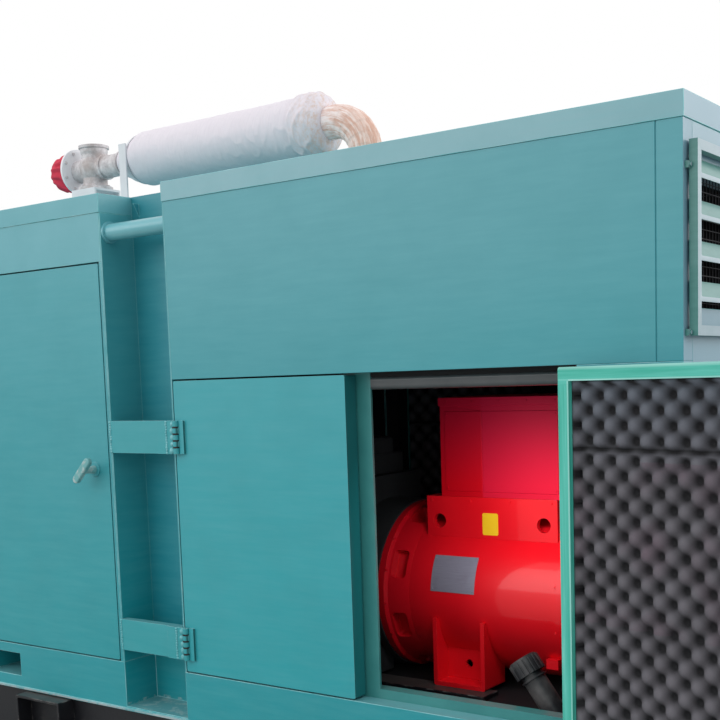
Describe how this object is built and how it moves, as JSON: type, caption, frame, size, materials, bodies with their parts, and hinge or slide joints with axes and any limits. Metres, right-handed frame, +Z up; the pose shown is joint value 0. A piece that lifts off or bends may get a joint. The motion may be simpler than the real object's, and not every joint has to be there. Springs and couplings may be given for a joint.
{
  "type": "diesel generator set in a sheet-steel canopy",
  "caption": "Canopied diesel generator set with hinged side doors, open alternator bay, roof exhaust, inlet louvre and skid base.",
  "frame": {"origin": "on the floor under the middle of the set, at the underside of the centre cross member", "axes": "+X towards the alternator end, -Y towards the side with the open door, +Z up"},
  "size_m": [3.9991, 1.7004, 2.366],
  "materials": {
    "canopy_paint": "semi-gloss teal enamel on slightly wavy sheet",
    "skid_paint": "scuffed black chassis paint",
    "foam": "charcoal egg-crate acoustic foam",
    "handle_metal": "worn paint over cast metal",
    "alternator_paint": "glossy red enamel",
    "wrap_cloth": "pale lagging cloth",
    "riser_wrap": "heat-browned lagging wrap",
    "grey_metal": "bare grey casting and flat bar",
    "red_cloth": "red rag",
    "engine_paint": "dark grey engine enamel",
    "pipe_iron": "heat-darkened iron",
    "cooling_black": "satin black",
    "black_plastic": "ribbed black plastic"
  },
  "bodies": {
    "housing": {"alternator_adaptor": "alternator_paint", "alternator_feet": "alternator_paint", "alternator_frame": "alternator_paint", "base_tray": "canopy_paint", "bearer_ends": "skid_paint", "corner_posts": "canopy_paint", "discharge_grille": "canopy_paint", "engine_block": "engine_paint", "engine_head": "engine_paint", "engine_rails": "skid_paint", "exhaust_downpipe": "pipe_iron", "exhaust_riser": "riser_wrap", "fan": "cooling_black", "fan_shroud": "cooling_black", "flywheel_housing": "engine_paint", "fuel_filler": "black_plastic", "hinge_arms": "canopy_paint", "inlet_louvre": "canopy_paint", "jamb_hinges": "canopy_paint", "left_door_stops": "canopy_paint", "left_end_wall": "canopy_paint", "left_roof": "canopy_paint", "left_side_panels": "canopy_paint", "lifting_bars": "canopy_paint", "lifting_saddle": "alternator_paint", "outlet_cover": "red_cloth", "outlet_stand": "grey_metal", "outlet_tee": "grey_metal", "over_door_strips": "canopy_paint", "radiator": "cooling_black", "recess_backs": "canopy_paint", "recess_returns": "canopy_paint", "recess_roof": "canopy_paint", "right_door_stops": "canopy_paint", "right_end_wall": "canopy_paint", "right_roof": "canopy_paint", "right_side_panels": "canopy_paint", "right_upper_panels": "canopy_paint", "silencer": "wrap_cloth", "silencer_bracket": "grey_metal", "skid_cross_members": "skid_paint", "skid_rails": "skid_paint", "terminal_box": "alternator_paint"},
    "engine_door_front": {"engine_door_front": "canopy_paint", "engine_lining_front": "foam"},
    "engine_door_rear": {"engine_door_rear": "canopy_paint", "engine_lining_rear": "foam"},
    "middle_door_front": {"middle_door_front": "canopy_paint", "middle_lining_front": "foam"},
    "middle_door_rear": {"middle_door_rear": "canopy_paint", "middle_lining_rear": "foam"},
    "alternator_door_front": {"alternator_door_front": "canopy_paint", "alternator_lining_front": "foam"},
    "alternator_door_rear": {"alternator_door_rear": "canopy_paint", "alternator_lining_rear": "foam"},
    "engine_handle_front": {"engine_handle_front": "handle_metal"},
    "engine_handle_rear": {"engine_handle_rear": "handle_metal"},
    "alternator_handle_front": {"alternator_handle_front": "handle_metal"},
    "alternator_handle_rear": {"alternator_handle_rear": "handle_metal"}
  },
  "joints": [
    {"name": "engine_door_front_hinge", "type": "hinge", "parent": "housing", "child": "engine_door_front", "pos_m": [-1.1205, -0.687, 0.9], "axis": [0, 0, -1], "range_deg": [0, 120]},
    {"name": "engine_door_rear_hinge", "type": "hinge", "parent": "housing", "child": "engine_door_rear", "pos_m": [-1.1205, 0.687, 0.9], "axis": [0, 0, 1], "range_deg": [0, 120]},
    {"name": "middle_door_front_hinge", "type": "hinge", "parent": "housing", "child": "middle_door_front", "pos_m": [0.1215, -0.687, 0.9], "axis": [0, 0, -1], "range_deg": [0, 120]},
    {"name": "middle_door_rear_hinge", "type": "hinge", "parent": "housing", "child": "middle_door_rear", "pos_m": [0.1215, 0.687, 0.9], "axis": [0, 0, 1], "range_deg": [0, 120]},
    {"name": "alternator_door_front_hinge", "type": "hinge", "parent": "housing", "child": "alternator_door_front", "pos_m": [1.5175, -0.687, 0.9], "axis": [0, 0, 1], "range_deg": [-163, 15]},
    {"name": "alternator_door_rear_hinge", "type": "hinge", "parent": "housing", "child": "alternator_door_rear", "pos_m": [1.5175, 0.687, 0.9], "axis": [0, 0, -1], "range_deg": [0, 178]},
    {"name": "engine_handle_front_turn", "type": "hinge", "parent": "engine_door_front", "child": "engine_handle_front", "pos_m": [-0.2855, -0.675, 1.084], "axis": [0, -1, 0], "range_deg": [-30, 60]},
    {"name": "engine_handle_rear_turn", "type": "hinge", "parent": "engine_door_rear", "child": "engine_handle_rear", "pos_m": [-0.2855, 0.675, 1.084], "axis": [0, -1, 0], "range_deg": [-30, 60]},
    {"name": "alternator_handle_front_turn", "type": "hinge", "parent": "alternator_door_front", "child": "alternator_handle_front", "pos_m": [2.13368, -0.88793, 1.084], "axis": [0.2924, 0.9563, 0], "range_deg": [-30, 60]},
    {"name": "alternator_handle_rear_turn", "type": "hinge", "parent": "alternator_door_rear", "child": "alternator_handle_rear", "pos_m": [0.8695, 0.675, 1.084], "axis": [0, -1, 0], "range_deg": [-30, 60]}
  ]
}
